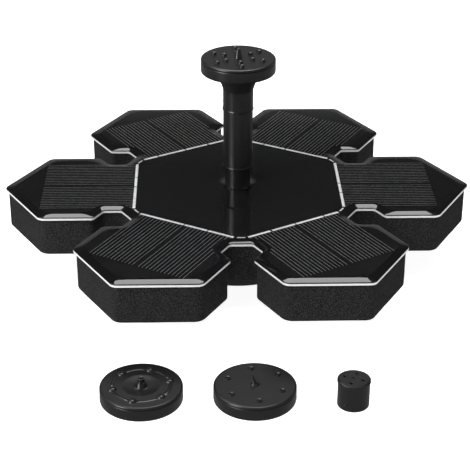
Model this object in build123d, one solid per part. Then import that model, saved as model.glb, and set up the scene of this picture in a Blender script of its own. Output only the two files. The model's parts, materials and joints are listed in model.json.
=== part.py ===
from build123d import *
import math
import os

# Floating solar fountain pump, millimetres.
# Origin: centre of the pump's resting face, under the riser. +Z is up, -Y is the front.

# ---- driving dimensions -------------------------------------------------------------------
PETALS = 6
TIP_RADIUS = 92.5            # centre to the point of a petal
PETAL_HALF_WIDTH = 27.55
NECK_HALF_WIDTH = 21.2       # where a petal joins the hub
INNER_SHOULDER = 56.0        # distance of the inner shoulder along the petal
NECK_END = 52.3              # where the neck starts to widen
HUB_FLAT = 49.9              # centre to the short flat between two petals
TIP_ROUND = 3.0
SHOULDER_ROUND = 3.5
NECK_ROUND = 1.6

BOARD_BOTTOM = 30.2
BOARD_THICK = 0.8
RESIN_THICK = 1.0
BOARD_TOP = BOARD_BOTTOM + BOARD_THICK
PANEL_TOP = BOARD_TOP + RESIN_THICK
RESIN_EDGE = 0.4             # bevel round the coat's top edge

FOAM_BOTTOM = 15.1
FOAM_INSET = 0.65            # foam edge inside the panel edge

CELL_THICK = 0.2
CELL_START = 41.3            # along the petal
CELL_END = 77.4
CELL_GAP = 1.1               # between the two cells of a petal
CELL_OUTER = 20.5            # outer side of a cell, from the petal's centre line
RIBBON_START = 40.0
RIBBON_WIDTH = 1.2
RIBBON_HALF = 20.3
LINK_WIDTH = 0.5

HOUSING_R = 26.5
HOUSING_WALL = 1.6
SKIRT_R = 25.3
SKIRT_WALL = 1.5
SKIRT_BOTTOM = 4.4
COVER_TOP = 6.2              # seam between strainer cover and housing
COVER_FLOOR = 1.4
COVER_WALL = 0.9
SPONGE_R = 23.3
DECK_BOTTOM = 10.6           # wall between the wet and the dry side
DECK_THICK = 1.4
DECK_TOP = DECK_BOTTOM + DECK_THICK
SLOTS = 24
SLOT_WIDTH = 1.6
SLOT_START = 8.5             # from the middle
SLOT_END = 21.0

ROTOR_X = 12.9
ROTOR_Y = -4.7
CHAMBER_R = 7.2
CHAMBER_WALL = 1.2
CHAMBER_BOTTOM = 6.4
IMPELLER_R = 6.2
LID_BOTTOM = 5.0             # plate that closes the impeller chamber
INLET_R = 4.6
LUG_ANGLES = (-100, 95, 180)
LUG_DISTANCE = 10.0
LUG_R = 1.9

CAN_R = 5.2
CAN_WALL = 0.8
CAN_TOP = 25.8
SHAFT_R = 0.75
SHAFT_CLEARANCE = 0.05
MAGNET_R = 3.9
MAGNET_BOTTOM = 13.0
MAGNET_TOP = 22.6

STATOR_R = 9.3
STATOR_YOKE = 1.3
STATOR_BORE = 5.4
STATOR_BOTTOM = 14.0
STATOR_TOP = 22.0
POLES = 4
POLE_WIDTH = 3.2
COIL_BUILD = 1.0

DRIVE_BOTTOM = 26.0
DRIVE_THICK = 1.2
DRIVE_TOP = DRIVE_BOTTOM + DRIVE_THICK
CHIP_SIZE = (5.0, 4.0, 1.4)
CHIP_AT = (-8.0, 8.0)
CHIP_LEAD_REACH = 3.0        # from the chip's middle to the tip of a lead
CHIP_LEAD_PITCH = 1.27
CAPACITOR_R = 2.2
CAPACITOR_AT = (-10.0, -9.0)
SENSOR_SIZE = (3.0, 3.0, 1.0)
SENSOR_OFFSET = 4.0          # from the rotor's axis
LEAD_R = 0.65
LEAD_X = -16.0
LEAD_Y = 3.0                 # either side of the middle

SCREW_HEAD_R = 1.5
SCREW_HEAD_HEIGHT = 0.9
SCREW_R = 0.58
BUSH_R = 1.6
HUB_R = 2.4
IMPELLER_BLADES = 6
IMPELLER_PLATE_BOTTOM = 9.3

WATERWAY_R = 2.5
PIPE_R = 3.9                 # outlet pipe inside the dry side
COLLAR_R = 5.1
COLLAR_TOP = PANEL_TOP + 8.4
SPIGOT_R = 4.3
SPIGOT_LENGTH = 8.0
SOCKET_R = 4.38              # sliding fit on a spigot
TUBE_R = 5.77
TUBE_TOP = PANEL_TOP + 32.3
ADAPTER_R = 5.87
BEAD = 0.2
CUP_R = 9.0                  # flare where it meets the head
DISC_R = 12.92               # disc on the adapter that closes a head from below
DISC_THICK = 1.0
DISC_RECESS = 0.5            # disc above the head's lower edge
DISC_WALL = 0.9              # upstanding edge that bears on the head's plate

HEAD_R = 14.4
HEAD_HEIGHT = 5.3
HEAD_PLATE = 1.2
HEAD_SOCKET_R = 13.0        # sliding fit on the adapter's disc
HEAD_TOP = PANEL_TOP + 53.4
JETS = 6
JET_R = 0.8
JET_HEIGHT = 0.9
JET_HOLE_R = 0.35
OUTER_JETS_R = 10.1
INNER_JETS_R = 5.9
JETS_TURN = 36               # first jet of a ring, degrees from +X
RING_HEAD_TURN = 14
SMALL_HEAD_TURN = 67

RING_HEAD_AT = (-35.9, -104.1)
JET_HEAD_AT = (3.2, -104.5)
SMALL_HEAD_AT = (36.7, -109.0)
BOWL_R = 5.8
BOWL_DEPTH = 0.7
SMALL_HEAD_R = 5.2
SMALL_HEAD_LIP_R = 5.75
SMALL_HEAD_HEIGHT = 10.4
SMALL_HEAD_NUB_R = 0.45      # grip nub low on the side
SMALL_HEAD_NUB_TURN = -123
SMALL_HEAD_NUB_HEIGHT = 2.5

os.makedirs("parts", exist_ok=True)


# ---- helpers ------------------------------------------------------------------------------
def save(shape, name):
    """Write one named piece."""
    export_step(shape, f"parts/{name}.step")


def tube(outer, inner, low, high, x=0.0, y=0.0):
    """Upright ring or, with inner 0, a solid cylinder."""
    base = Plane.XY.offset(low)
    profile = Pos(x, y) * Circle(outer)
    if inner > 0:
        profile -= Pos(x, y) * Circle(inner)
    return extrude(base * profile, high - low)


def block(x0, x1, y0, y1, low, high):
    """Box between two corners."""
    centre = Pos((x0 + x1) / 2, (y0 + y1) / 2, (low + high) / 2)
    return centre * Box(x1 - x0, y1 - y0, high - low)


def turned(points, x=0.0, y=0.0, base=0.0):
    """Solid of revolution about an upright axis from (radius, height) points."""
    profile = make_face(Polyline(*[(r, 0, z) for r, z in points], close=True))
    return Pos(x, y, base) * revolve(profile, Axis.Z)


def ring_points(count, radius, start=0.0):
    """Points evenly spaced on a circle."""
    step = 360 / count
    angles = [math.radians(start + step * i) for i in range(count)]
    return [(radius * math.cos(a), radius * math.sin(a)) for a in angles]


# ---- panel and float ----------------------------------------------------------------------
def petal_points():
    """Half-symmetric outline of one petal as (along, across)."""
    drop = PETAL_HALF_WIDTH * math.tan(math.radians(30))
    hub = (HUB_FLAT - NECK_HALF_WIDTH * math.sin(math.radians(30))) / math.cos(math.radians(30))
    side = [
        (hub, NECK_HALF_WIDTH),
        (NECK_END, NECK_HALF_WIDTH),
        (INNER_SHOULDER, PETAL_HALF_WIDTH),
        (TIP_RADIUS - drop, PETAL_HALF_WIDTH),
    ]
    return [(x, -y) for x, y in side] + [(TIP_RADIUS, 0)] + side[::-1]


def flower(inset=0.0):
    """Flower outline with rounded corners, as a face at z = 0."""
    points = []
    for i in range(PETALS):
        turn = math.radians(60 * i)
        for x, y in petal_points():
            px = x * math.cos(turn) - y * math.sin(turn)
            py = x * math.sin(turn) + y * math.cos(turn)
            points.append((px, py))
    face = make_face(Polyline(*points, close=True))
    if inset > 0:
        face = offset(face, -inset, kind=Kind.INTERSECTION)
    tips = [v for v in face.vertices() if Vector(v.X, v.Y).length > TIP_RADIUS - 4]
    face = fillet(tips, TIP_ROUND)
    shoulder = math.hypot(TIP_RADIUS - PETAL_HALF_WIDTH * math.tan(math.radians(30)), PETAL_HALF_WIDTH)
    outer = [v for v in face.vertices() if abs(Vector(v.X, v.Y).length - shoulder) < 4]
    face = fillet(outer, SHOULDER_ROUND)
    rest = [v for v in face.vertices() if Vector(v.X, v.Y).length < shoulder - 10]
    return fillet(rest, NECK_ROUND)


def make_board():
    """Black circuit board that carries the cells."""
    board = extrude(Plane.XY.offset(BOARD_BOTTOM) * flower(), BOARD_THICK)
    return board - tube(COLLAR_R, 0, BOARD_BOTTOM, BOARD_TOP)


def make_cell(petal, side):
    """One cell strip, on one side of a petal's centre line."""
    y0 = CELL_GAP / 2
    strip = block(CELL_START, CELL_END, y0, CELL_OUTER, BOARD_TOP, BOARD_TOP + CELL_THICK)
    if side < 0:
        strip = mirror(strip, Plane.XZ)
    return Rot(0, 0, 60 * petal) * strip


def make_ribbon(petal):
    """Tab ribbon along the inner ends of a petal's two cells."""
    end = RIBBON_START + RIBBON_WIDTH
    top = BOARD_TOP + CELL_THICK
    strip = block(RIBBON_START, end, -RIBBON_HALF, RIBBON_HALF, BOARD_TOP, top)
    return Rot(0, 0, 60 * petal) * strip


def make_links():
    """Thin links between the ribbons of neighbouring petals."""
    near = RIBBON_START + RIBBON_WIDTH / 2
    reach = near * math.cos(math.radians(30)) + RIBBON_HALF * math.sin(math.radians(30))
    half = near * math.sin(math.radians(30)) - RIBBON_HALF * math.cos(math.radians(30))
    half -= RIBBON_WIDTH
    link = block(reach, reach + LINK_WIDTH, -half, half, BOARD_TOP, BOARD_TOP + CELL_THICK)
    return [Rot(0, 0, 30 + 60 * i) * link for i in range(PETALS)]


def make_resin(embedded):
    """Clear coat over the board, with pockets for what it covers."""
    coat = extrude(Plane.XY.offset(BOARD_TOP) * flower(), RESIN_THICK)
    coat = chamfer(coat.faces().sort_by(Axis.Z)[-1].edges(), RESIN_EDGE)
    coat -= tube(COLLAR_R, 0, BOARD_TOP, PANEL_TOP)
    return coat - embedded


def make_foam():
    """Closed-cell foam float round the pump."""
    foam = extrude(Plane.XY.offset(FOAM_BOTTOM) * flower(FOAM_INSET), BOARD_BOTTOM - FOAM_BOTTOM)
    return foam - tube(HOUSING_R + 0.2, 0, FOAM_BOTTOM, BOARD_BOTTOM)


# ---- pump ---------------------------------------------------------------------------------
def lug_points():
    """Centres of the three screw lugs round the impeller chamber."""
    turns = [math.radians(a) for a in LUG_ANGLES]
    return [(ROTOR_X + LUG_DISTANCE * math.cos(t), ROTOR_Y + LUG_DISTANCE * math.sin(t)) for t in turns]


def volute_face(grow):
    """Chamber and tangential channel to the outlet, in plan."""
    half = WATERWAY_R + grow
    face = Pos(ROTOR_X, ROTOR_Y) * Circle(CHAMBER_R + grow)
    face += Pos(ROTOR_X / 2, 0) * Rectangle(ROTOR_X, 2 * half)
    return face + Circle(half)


def make_housing():
    """Pump body in one moulding: wall, deck, rotor can, volute walls and outlet."""
    inner = HOUSING_R - HOUSING_WALL
    body = tube(HOUSING_R, inner, COVER_TOP, BOARD_BOTTOM)
    body += tube(HOUSING_R - 0.1, 0, DECK_BOTTOM, DECK_TOP)
    body += tube(SKIRT_R, SKIRT_R - SKIRT_WALL, SKIRT_BOTTOM, DECK_BOTTOM)
    body += tube(HOUSING_R, SKIRT_R - SKIRT_WALL, COVER_TOP, COVER_TOP + 1.2)
    volute = Plane.XY.offset(CHAMBER_BOTTOM) * volute_face(CHAMBER_WALL)
    body += extrude(volute, DECK_BOTTOM - CHAMBER_BOTTOM)
    for x, y in lug_points():
        body += tube(LUG_R, 0, CHAMBER_BOTTOM, DECK_BOTTOM, x, y)
    body += tube(CAN_R, 0, DECK_TOP, CAN_TOP, ROTOR_X, ROTOR_Y)
    body += tube(PIPE_R, 0, DECK_TOP, BOARD_BOTTOM)
    body += tube(COLLAR_R, 0, BOARD_BOTTOM - 1.0, COLLAR_TOP)
    body += tube(SPIGOT_R, 0, COLLAR_TOP, COLLAR_TOP + SPIGOT_LENGTH)
    body -= extrude(Plane.XY.offset(CHAMBER_BOTTOM) * volute_face(0), DECK_BOTTOM - CHAMBER_BOTTOM)
    body -= tube(WATERWAY_R, 0, CHAMBER_BOTTOM, COLLAR_TOP + SPIGOT_LENGTH)
    body -= tube(CAN_R - CAN_WALL, 0, CHAMBER_BOTTOM, CAN_TOP - 1.0, ROTOR_X, ROTOR_Y)
    for x, y in lug_points():
        body -= tube(0.6, 0, CHAMBER_BOTTOM, DECK_BOTTOM - 0.8, x, y)
    return body


def make_lid():
    """Plate under the chamber, with the inlet and a spider for the lower bush."""
    height = CHAMBER_BOTTOM - LID_BOTTOM
    lid = extrude(Plane.XY.offset(LID_BOTTOM) * volute_face(CHAMBER_WALL - 0.1), height)
    for x, y in lug_points():
        lid += tube(LUG_R, 0, LID_BOTTOM, CHAMBER_BOTTOM, x, y)
    lid -= tube(INLET_R, 0, LID_BOTTOM, CHAMBER_BOTTOM, ROTOR_X, ROTOR_Y)
    spoke = block(0, INLET_R + 0.4, -0.5, 0.5, LID_BOTTOM, CHAMBER_BOTTOM)
    for turn in (0, 120, 240):
        lid += Pos(ROTOR_X, ROTOR_Y) * Rot(0, 0, turn) * spoke
    lid += tube(HUB_R, 0, LID_BOTTOM, CHAMBER_BOTTOM, ROTOR_X, ROTOR_Y)
    lid -= tube(BUSH_R, 0, LID_BOTTOM, CHAMBER_BOTTOM, ROTOR_X, ROTOR_Y)
    for x, y in lug_points():
        lid -= tube(0.8, 0, LID_BOTTOM, CHAMBER_BOTTOM, x, y)
    return lid


def make_screws():
    """Three pan-head screws that hold the lid."""
    screws = []
    for x, y in lug_points():
        low = LID_BOTTOM - SCREW_HEAD_HEIGHT
        screw = tube(SCREW_HEAD_R, 0, low, LID_BOTTOM, x, y)
        screw += tube(SCREW_R, 0, LID_BOTTOM, DECK_BOTTOM - 1.2, x, y)
        slot_cut = Pos(x, y, low + 0.15) * Box(2.2, 0.4, 0.3)
        cross_cut = Pos(x, y, low + 0.15) * Box(0.4, 2.2, 0.3)
        screws.append(screw - slot_cut - cross_cut)
    return screws


def make_shaft():
    """Fixed ceramic shaft."""
    return tube(SHAFT_R, 0, LID_BOTTOM + 0.5, CAN_TOP - 1.5, ROTOR_X, ROTOR_Y)


def make_lower_bush():
    """Rubber bush in the lid's spider."""
    bush = tube(BUSH_R, 0, LID_BOTTOM, CHAMBER_BOTTOM, ROTOR_X, ROTOR_Y)
    return bush - tube(SHAFT_R, 0, LID_BOTTOM + 0.5, CHAMBER_BOTTOM, ROTOR_X, ROTOR_Y)


def make_upper_bush():
    """Rubber plug at the closed end of the rotor can."""
    low = MAGNET_TOP + 0.7
    bush = tube(CAN_R - CAN_WALL - 0.05, 0, low, CAN_TOP - 1.0, ROTOR_X, ROTOR_Y)
    return bush - tube(SHAFT_R, 0, low, CAN_TOP - 1.5, ROTOR_X, ROTOR_Y)


def make_washers():
    """Thrust washers at both ends of the rotor."""
    bore = SHAFT_R + SHAFT_CLEARANCE
    low = tube(1.7, bore, CHAMBER_BOTTOM + 0.05, CHAMBER_BOTTOM + 0.45, ROTOR_X, ROTOR_Y)
    high = tube(2.2, bore, MAGNET_TOP + 0.05, MAGNET_TOP + 0.55, ROTOR_X, ROTOR_Y)
    return [low, high]


def make_magnet():
    """Cylindrical rotor magnet."""
    bore = SHAFT_R + SHAFT_CLEARANCE
    return tube(MAGNET_R, bore, MAGNET_BOTTOM, MAGNET_TOP, ROTOR_X, ROTOR_Y)


def make_impeller():
    """Open impeller: back plate, straight blades and a hub that carries the magnet."""
    low = CHAMBER_BOTTOM + 0.5
    plate_high = DECK_BOTTOM - 0.4
    wheel = tube(IMPELLER_R, 0, IMPELLER_PLATE_BOTTOM, plate_high)
    wheel += tube(2.0, 0, low, MAGNET_BOTTOM)
    blade = block(1.5, IMPELLER_R, -0.4, 0.4, low, IMPELLER_PLATE_BOTTOM + 0.2)
    for i in range(IMPELLER_BLADES):
        wheel += Rot(0, 0, 360 / IMPELLER_BLADES * i) * blade
    wheel -= tube(SHAFT_R + SHAFT_CLEARANCE, 0, low, MAGNET_BOTTOM)
    return Pos(ROTOR_X, ROTOR_Y) * wheel


def make_stator():
    """Laminated four-pole core."""
    height = (STATOR_BOTTOM, STATOR_TOP)
    core = tube(STATOR_R, STATOR_R - STATOR_YOKE, *height)
    pole = block(STATOR_BORE + 0.4, STATOR_R - 0.5, -POLE_WIDTH / 2, POLE_WIDTH / 2, *height)
    shoe = tube(STATOR_BORE + 0.6, STATOR_BORE, *height)
    shoe &= block(0, STATOR_R, -2.6, 2.6, *height)
    for i in range(POLES):
        core += Rot(0, 0, 45 + 90 * i) * (pole + shoe)
    return Pos(ROTOR_X, ROTOR_Y) * core


def make_coil(index):
    """Winding round one pole."""
    half = POLE_WIDTH / 2 + 0.1
    near = STATOR_BORE + 0.7
    yoke_inner = STATOR_R - STATOR_YOKE
    far = math.sqrt(yoke_inner**2 - (half + COIL_BUILD) ** 2) - 0.1
    outer = block(near, far, -half - COIL_BUILD, half + COIL_BUILD,
                  STATOR_BOTTOM - 0.1 - COIL_BUILD, STATOR_TOP + 0.1 + COIL_BUILD)
    outer = fillet(outer.edges().filter_by(Axis.X), 0.7)
    hole = block(near, far, -half, half, STATOR_BOTTOM - 0.1, STATOR_TOP + 0.1)
    return Pos(ROTOR_X, ROTOR_Y) * Rot(0, 0, 45 + 90 * index) * (outer - hole)


def make_potting():
    """Epoxy that seals the dry side."""
    fill = tube(HOUSING_R - HOUSING_WALL - 0.05, PIPE_R + 0.05, DECK_TOP, CAN_TOP)
    return fill - tube(STATOR_R + 0.1, 0, DECK_TOP, CAN_TOP, ROTOR_X, ROTOR_Y)


def make_drive_board():
    """Round motor driver board above the stator."""
    return tube(HOUSING_R - HOUSING_WALL - 0.6, PIPE_R + 0.3, DRIVE_BOTTOM, DRIVE_TOP)


def centred_block(size, x, y, low):
    """Box of a size standing on a height, centred in plan."""
    return Pos(x, y, low + size[2] / 2) * Box(*size)


def make_hall_sensor():
    """Sensor over the rotor's edge."""
    return centred_block(SENSOR_SIZE, ROTOR_X, ROTOR_Y + SENSOR_OFFSET, DRIVE_TOP)


def make_driver_chip():
    """Motor driver with its short leads drawn as one body."""
    x, y = CHIP_AT
    chip = centred_block(CHIP_SIZE, x, y, DRIVE_TOP + 0.1)
    for k in (-1.5, -0.5, 0.5, 1.5):
        lead = (0.4, 2 * CHIP_LEAD_REACH, 0.4)
        chip += centred_block(lead, x + CHIP_LEAD_PITCH * k, y, DRIVE_TOP)
    return chip


def make_capacitor():
    """Smoothing capacitor."""
    can = tube(CAPACITOR_R, 0, DRIVE_TOP, BOARD_BOTTOM - 0.4, *CAPACITOR_AT)
    return chamfer(can.faces().sort_by(Axis.Z)[-1].edges(), 0.3)


def make_lead(side):
    """Short insulated lead from the driver board up to the panel."""
    return tube(LEAD_R, 0, DRIVE_TOP, BOARD_BOTTOM, LEAD_X, side * LEAD_Y)


# ---- strainer -----------------------------------------------------------------------------
def make_strainer():
    """Push-on cover with radial slots in its floor."""
    cover = tube(HOUSING_R, HOUSING_R - COVER_WALL, 0, COVER_TOP)
    cover += tube(HOUSING_R, 0, 0, COVER_FLOOR)
    cover = chamfer(cover.faces().sort_by(Axis.Z)[0].edges(), 0.6)
    slot = block(SLOT_START, SLOT_END, -SLOT_WIDTH / 2, SLOT_WIDTH / 2, 0, COVER_FLOOR)
    step = 360 / SLOTS
    for i in range(SLOTS):
        cover -= Rot(0, 0, step * i) * slot
    return cover


def make_sponge():
    """Filter sponge inside the cover."""
    return tube(SPONGE_R, 0, COVER_FLOOR + 0.1, LID_BOTTOM - 1.0)


# ---- riser and heads ----------------------------------------------------------------------
def make_riser():
    """Plain riser tube with a small bead at its foot."""
    points = [
        (SOCKET_R, COLLAR_TOP),
        (TUBE_R + 0.1, COLLAR_TOP),
        (TUBE_R + 0.1, COLLAR_TOP + 0.5),
        (TUBE_R, COLLAR_TOP + 0.7),
        (TUBE_R, TUBE_TOP),
        (SOCKET_R, TUBE_TOP),
    ]
    return turned(points)


def make_adapter():
    """Sleeve that plugs into the riser and flares to the disc that closes a head from below."""
    disc_low = HEAD_TOP - HEAD_HEIGHT + DISC_RECESS
    disc_top = disc_low + DISC_THICK
    wall_top = HEAD_TOP - HEAD_PLATE - 0.05
    points = [
        (2.9, TUBE_TOP - SPIGOT_LENGTH + 0.2),
        (SPIGOT_R, TUBE_TOP - SPIGOT_LENGTH + 0.2),
        (SPIGOT_R, TUBE_TOP),
        (ADAPTER_R + BEAD, TUBE_TOP),
        (ADAPTER_R + BEAD, TUBE_TOP + 0.6),
        (ADAPTER_R, TUBE_TOP + 0.9),
        (ADAPTER_R, PANEL_TOP + 40.7),
        (6.3, PANEL_TOP + 42.3),
        (7.3, PANEL_TOP + 44.6),
        (CUP_R - 0.3, PANEL_TOP + 47.4),
        (CUP_R, disc_low),
        (DISC_R, disc_low),
        (DISC_R, wall_top),
        (DISC_R - DISC_WALL, wall_top),
        (DISC_R - DISC_WALL, disc_top),
        (CUP_R - 1.0, disc_top),
        (CUP_R - 3.0, PANEL_TOP + 45.8),
        (3.6, PANEL_TOP + 42.7),
        (2.9, PANEL_TOP + 40.3),
    ]
    return turned(points)


def head_shell(bowl_r=0.0, bowl=0.0):
    """Disc head shell standing on its rim at z = 0: plate and the rim that fits the adapter's disc."""
    rim = HEAD_R - 0.15
    under = HEAD_HEIGHT - HEAD_PLATE
    points = [
        (0, under),
        (HEAD_SOCKET_R, under),
        (HEAD_SOCKET_R, 0),
        (HEAD_R, 0),
        (HEAD_R, 0.5),
        (rim, 0.8),
        (rim, HEAD_HEIGHT - 0.9),
        (rim - 0.6, HEAD_HEIGHT - 0.35),
        (rim - 1.3, HEAD_HEIGHT),
    ]
    if bowl > 0:
        points += [(bowl_r, HEAD_HEIGHT), (bowl_r * 0.65, HEAD_HEIGHT - bowl), (0, HEAD_HEIGHT - bowl)]
    else:
        points += [(0, HEAD_HEIGHT)]
    return turned(points)


def hollow_jet(x, y, outer, height, hole):
    """Small raised jet and the hole through it, as two solids to add and to cut."""
    post = tube(outer, 0, HEAD_HEIGHT - 0.3, HEAD_HEIGHT + height, x, y)
    bore = tube(hole, 0, -1.0, HEAD_HEIGHT + height + 1.0, x, y)
    return post, bore


def cone(base_r, top_r, low, high):
    """Upright truncated cone on the axis."""
    return turned([(0, low), (base_r, low), (top_r, high), (0, high)])


def make_spray_head():
    """Disc head with two rings of jets and a tall central nozzle."""
    head = head_shell()
    bores = []
    for radius in (OUTER_JETS_R, INNER_JETS_R):
        for x, y in ring_points(JETS, radius, JETS_TURN):
            post, bore = hollow_jet(x, y, JET_R, JET_HEIGHT, JET_HOLE_R)
            head += post
            bores.append(bore)
    head += cone(1.55, 0.95, HEAD_HEIGHT - 0.3, HEAD_HEIGHT + 3.5)
    head -= tube(0.5, 0, -1.0, HEAD_HEIGHT + 5.0)
    for bore in bores:
        head -= bore
    return Pos(0, 0, HEAD_TOP - HEAD_HEIGHT) * head


def make_ring_head():
    """Spare head: dished centre with a stepped spout and domed jets joined by a groove."""
    head = head_shell(BOWL_R, BOWL_DEPTH)
    groove = tube(OUTER_JETS_R + 0.3, OUTER_JETS_R - 0.3, HEAD_HEIGHT - 0.35, HEAD_HEIGHT)
    head -= groove
    floor = HEAD_HEIGHT - BOWL_DEPTH
    head += cone(1.9, 1.35, floor - 0.2, floor + 2.4)
    head += tube(1.15, 0, floor + 2.2, HEAD_HEIGHT + 3.9)
    head -= tube(0.5, 0, -1.0, HEAD_HEIGHT + 5.0)
    for x, y in ring_points(JETS, OUTER_JETS_R, RING_HEAD_TURN):
        dome = Pos(x, y, HEAD_HEIGHT - 0.4) * Sphere(1.3)
        keep = block(x - 2, x + 2, y - 2, y + 2, HEAD_HEIGHT - 0.8, HEAD_HEIGHT + 2)
        head += dome & keep
        head -= tube(JET_HOLE_R, 0, -1.0, HEAD_HEIGHT + 2, x, y)
    return Pos(*RING_HEAD_AT) * head


def make_jet_head():
    """Spare head: flat face, six jets and a slender central nozzle."""
    head = head_shell()
    bores = []
    for x, y in ring_points(JETS, OUTER_JETS_R, JETS_TURN):
        post, bore = hollow_jet(x, y, JET_R, JET_HEIGHT * 0.8, JET_HOLE_R)
        head += post
        bores.append(bore)
    head += cone(1.5, 0.55, HEAD_HEIGHT - 0.3, HEAD_HEIGHT + 4.0)
    head -= tube(0.3, 0, -1.0, HEAD_HEIGHT + 5.0)
    for bore in bores:
        head -= bore
    return Pos(*JET_HEAD_AT) * head


def make_small_head():
    """Spare head: small cap with five holes that pushes on the pump's spigot."""
    top = SMALL_HEAD_HEIGHT
    points = [
        (SOCKET_R, 0),
        (SMALL_HEAD_R, 0),
        (SMALL_HEAD_R, top - 1.6),
        (SMALL_HEAD_LIP_R, top - 1.2),
        (SMALL_HEAD_LIP_R, top - 0.4),
        (SMALL_HEAD_LIP_R - 0.4, top),
        (0, top),
        (0, top - 1.2),
        (SOCKET_R, top - 1.2),
    ]
    cap = turned(points)
    cap -= tube(0.4, 0, top - 2, top + 1)
    for x, y in ring_points(4, 3.2, SMALL_HEAD_TURN):
        cap -= tube(0.5, 0, top - 2, top + 1, x, y)
    turn = math.radians(SMALL_HEAD_NUB_TURN)
    nub = (SMALL_HEAD_R * math.cos(turn), SMALL_HEAD_R * math.sin(turn), SMALL_HEAD_NUB_HEIGHT)
    cap += Pos(*nub) * Sphere(SMALL_HEAD_NUB_R)
    return Pos(*SMALL_HEAD_AT) * cap


# ---- build --------------------------------------------------------------------------------
def main():
    embedded = []
    for petal in range(PETALS):
        for letter, side in (("a", -1), ("b", 1)):
            cell = make_cell(petal, side)
            embedded.append(cell)
            save(cell, f"solar_cell_{petal + 1}{letter}")
        ribbon = make_ribbon(petal)
        embedded.append(ribbon)
        save(ribbon, f"tab_ribbon_{petal + 1}")
    links = make_links()
    embedded += links
    save(Compound(children=links), "ribbon_links")
    save(make_board(), "panel_board")
    save(make_resin(embedded), "resin_coat")
    save(make_foam(), "foam_float")
    save(make_housing(), "pump_housing")
    save(make_potting(), "potting")
    save(make_drive_board(), "drive_board")
    save(make_hall_sensor(), "hall_sensor")
    save(make_driver_chip(), "driver_chip")
    save(make_capacitor(), "capacitor")
    save(make_lead(1), "lead_positive")
    save(make_lead(-1), "lead_negative")
    save(make_stator(), "stator_core")
    for index in range(POLES):
        save(make_coil(index), f"stator_coil_{index + 1}")
    save(make_shaft(), "rotor_shaft")
    save(make_upper_bush(), "upper_bush")
    save(make_lower_bush(), "lower_bush")
    save(make_lid(), "impeller_cover")
    save(Compound(children=make_screws()), "cover_screws")
    save(make_magnet(), "rotor_magnet")
    save(make_impeller(), "impeller")
    save(Compound(children=make_washers()), "thrust_washers")
    save(make_strainer(), "strainer_cover")
    save(make_sponge(), "filter_sponge")
    save(make_riser(), "riser_tube")
    save(make_adapter(), "head_adapter")
    save(make_spray_head(), "spray_head")
    save(make_ring_head(), "spare_ring_head")
    save(make_jet_head(), "spare_jet_head")
    save(make_small_head(), "spare_small_head")


main()
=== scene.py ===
import json
import math

import bmesh
import bpy
from mathutils import Matrix, Vector, noise
from mathutils.geometry import delaunay_2d_cdt

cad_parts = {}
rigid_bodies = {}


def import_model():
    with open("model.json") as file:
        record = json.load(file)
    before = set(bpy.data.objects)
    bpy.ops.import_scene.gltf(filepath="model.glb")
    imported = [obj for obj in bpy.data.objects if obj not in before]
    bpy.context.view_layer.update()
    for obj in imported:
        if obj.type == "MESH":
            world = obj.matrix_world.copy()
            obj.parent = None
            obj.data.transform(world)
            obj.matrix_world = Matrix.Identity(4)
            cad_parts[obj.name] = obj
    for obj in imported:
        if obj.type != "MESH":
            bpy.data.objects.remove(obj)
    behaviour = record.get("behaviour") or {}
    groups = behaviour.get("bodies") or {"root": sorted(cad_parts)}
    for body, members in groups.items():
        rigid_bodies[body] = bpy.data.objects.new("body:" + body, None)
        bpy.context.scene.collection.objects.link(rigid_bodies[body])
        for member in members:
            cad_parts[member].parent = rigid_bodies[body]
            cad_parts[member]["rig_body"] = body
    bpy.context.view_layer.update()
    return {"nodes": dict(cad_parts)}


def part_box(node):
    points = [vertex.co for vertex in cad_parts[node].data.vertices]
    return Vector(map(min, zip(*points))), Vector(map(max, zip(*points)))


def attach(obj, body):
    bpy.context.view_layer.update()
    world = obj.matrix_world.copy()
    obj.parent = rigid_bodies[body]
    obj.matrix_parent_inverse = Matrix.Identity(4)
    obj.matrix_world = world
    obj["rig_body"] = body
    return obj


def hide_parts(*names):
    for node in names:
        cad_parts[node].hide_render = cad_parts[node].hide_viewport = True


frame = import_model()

nodes = frame["nodes"]
MM = 0.001

# Solar floating fountain pump: fine shapes and finishes over the CAD nodes, on a white stage.
# Lengths are millimetres in the row frame, down to the stage, and pieces are turned into metres when
# their meshes are made. Angles are degrees.


def corners(node):
    """Lowest and highest corner of a CAD node, in millimetres."""
    low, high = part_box(node)
    return low / MM, high / MM


BOARD_HIGH = corners("panel_board")[1]
BOARD_TOP = BOARD_HIGH.z
RESIN_TOP = corners("resin_coat")[1].z
COATING = RESIN_TOP - BOARD_TOP
FOAM_LOW, FOAM_HIGH = corners("foam_float")
TUBE_LOW, TUBE_HIGH = corners("riser_tube")
PETALS = 6
PETAL_TURN = 360 / PETALS
INSIDE_OUTLINE = 1             # delaunay_2d_cdt's output without the faces outside the outer loop
SAME_POINT = 1e-5              # points of a level face this close together are one
WELD = 2e-7                    # metres, below which two vertices of a piece become one
SLIVER = 1e-8                  # metres, below which an edge is taken out


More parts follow.
